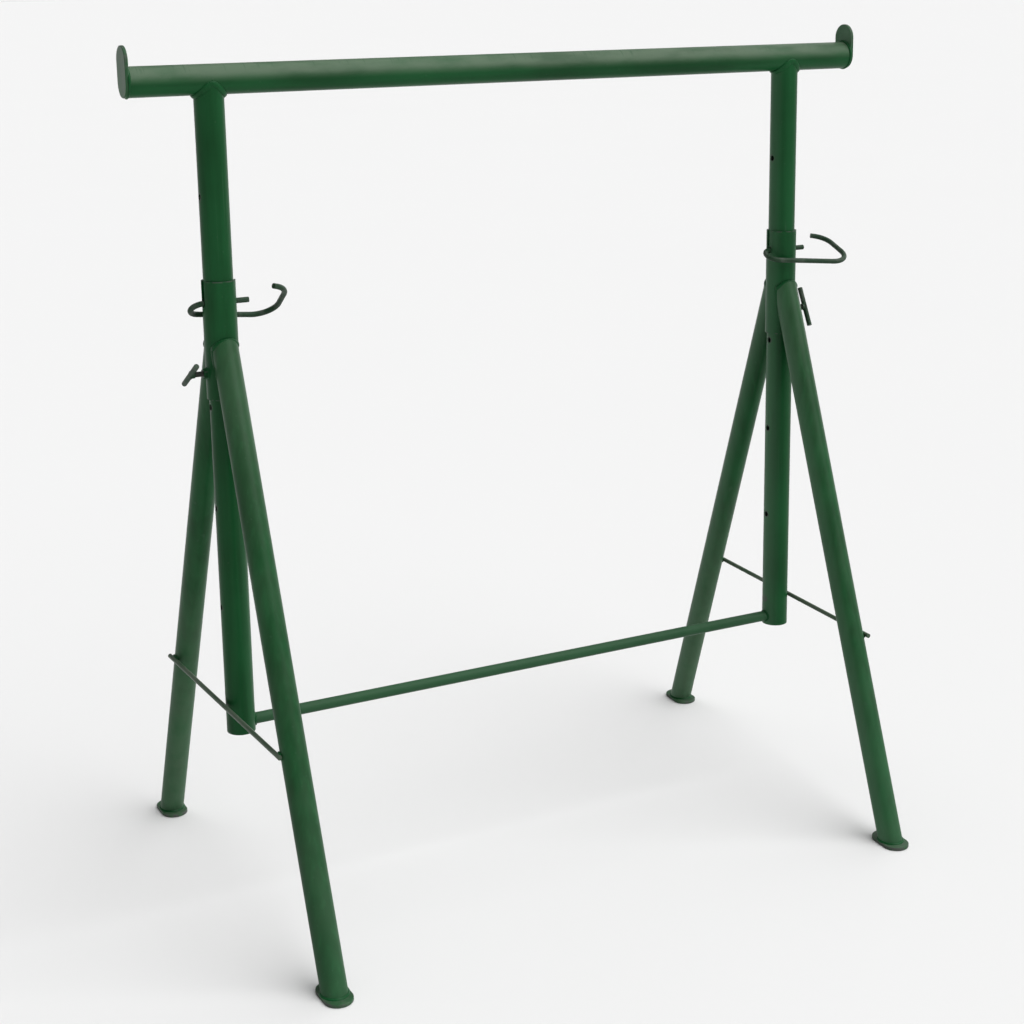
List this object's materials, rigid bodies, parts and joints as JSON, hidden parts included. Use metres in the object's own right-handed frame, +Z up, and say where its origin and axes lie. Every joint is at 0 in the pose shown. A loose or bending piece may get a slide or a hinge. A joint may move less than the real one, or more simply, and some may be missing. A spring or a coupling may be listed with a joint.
{
  "type": "builders trestle",
  "caption": "Height-adjustable steel builders trestle: a crossbar frame slides in the sleeves of A-shaped leg frames, set by bent-bar locking pins and T-handled clamp screws.",
  "frame": {"origin": "on the floor, midway between the four feet", "axes": "+Z up, +X along the crossbar to the right, front feet at -Y"},
  "size_m": [1.2, 0.7374, 1.2692],
  "materials": {
    "green_enamel": "dark green enamel, semi-gloss, dipped over the welds",
    "bar_enamel": "thin dark green enamel, worn on the bends",
    "screw_steel": "oiled dark steel thread with paint on it"
  },
  "bodies": {
    "left_leg_frame": {"left_sleeve": "green_enamel", "left_front_leg": "green_enamel", "left_rear_leg": "green_enamel", "left_front_foot": "green_enamel", "left_rear_foot": "green_enamel", "left_brace_rod": "green_enamel", "left_clamp_nut": "green_enamel"},
    "upper_frame": {"crossbar": "green_enamel", "left_end_stop": "green_enamel", "right_end_stop": "green_enamel", "left_upright": "green_enamel", "right_upright": "green_enamel", "stretcher": "green_enamel"},
    "right_leg_frame": {"right_sleeve": "green_enamel", "right_front_leg": "green_enamel", "right_rear_leg": "green_enamel", "right_front_foot": "green_enamel", "right_rear_foot": "green_enamel", "right_brace_rod": "green_enamel", "right_clamp_nut": "green_enamel"},
    "left_pin": {"left_locking_pin": "bar_enamel"},
    "right_pin": {"right_locking_pin": "bar_enamel"},
    "left_screw": {"left_clamp_screw": "screw_steel"},
    "left_handle": {"left_clamp_handle": "bar_enamel"},
    "right_screw": {"right_clamp_screw": "screw_steel"},
    "right_handle": {"right_clamp_handle": "bar_enamel"}
  },
  "joints": [
    {"name": "height_slide", "type": "slide", "parent": "left_leg_frame", "child": "upper_frame", "axis": [0, 0, 1], "range_m": [0, 0.45]},
    {"name": "right_height_slide", "type": "slide", "parent": "upper_frame", "child": "right_leg_frame", "axis": [0, 0, 1], "range_m": [-0.45, 0]},
    {"name": "left_pin_draw", "type": "slide", "parent": "upper_frame", "child": "left_pin", "axis": [-1, 0, 0], "range_m": [0, 0.065]},
    {"name": "right_pin_draw", "type": "slide", "parent": "upper_frame", "child": "right_pin", "axis": [-1, 0, 0], "range_m": [0, 0.065]},
    {"name": "left_screw_advance", "type": "slide", "parent": "left_leg_frame", "child": "left_screw", "axis": [-0.9991, -0.0419, 0], "range_m": [0, 0.005]},
    {"name": "left_handle_turn", "type": "hinge", "parent": "left_screw", "child": "left_handle", "pos_m": [-0.52996, -0.00209, 0.81], "axis": [-0.9991, -0.0419, 0], "range_deg": [0, 1440.5]},
    {"name": "right_screw_advance", "type": "slide", "parent": "right_leg_frame", "child": "right_screw", "axis": [0.9991, -0.0419, 0], "range_m": [0, 0.005]},
    {"name": "right_handle_turn", "type": "hinge", "parent": "right_screw", "child": "right_handle", "pos_m": [0.52996, -0.00209, 0.81], "axis": [0.9991, -0.0419, 0], "range_deg": [0, 1440.5]}
  ],
  "couplings": [
    {"joint": "right_height_slide", "follows": "height_slide", "ratio": -1},
    {"joint": "left_handle_turn", "follows": "left_screw_advance", "rad_per_m": 5026.5},
    {"joint": "right_handle_turn", "follows": "right_screw_advance", "rad_per_m": 5026.5}
  ]
}
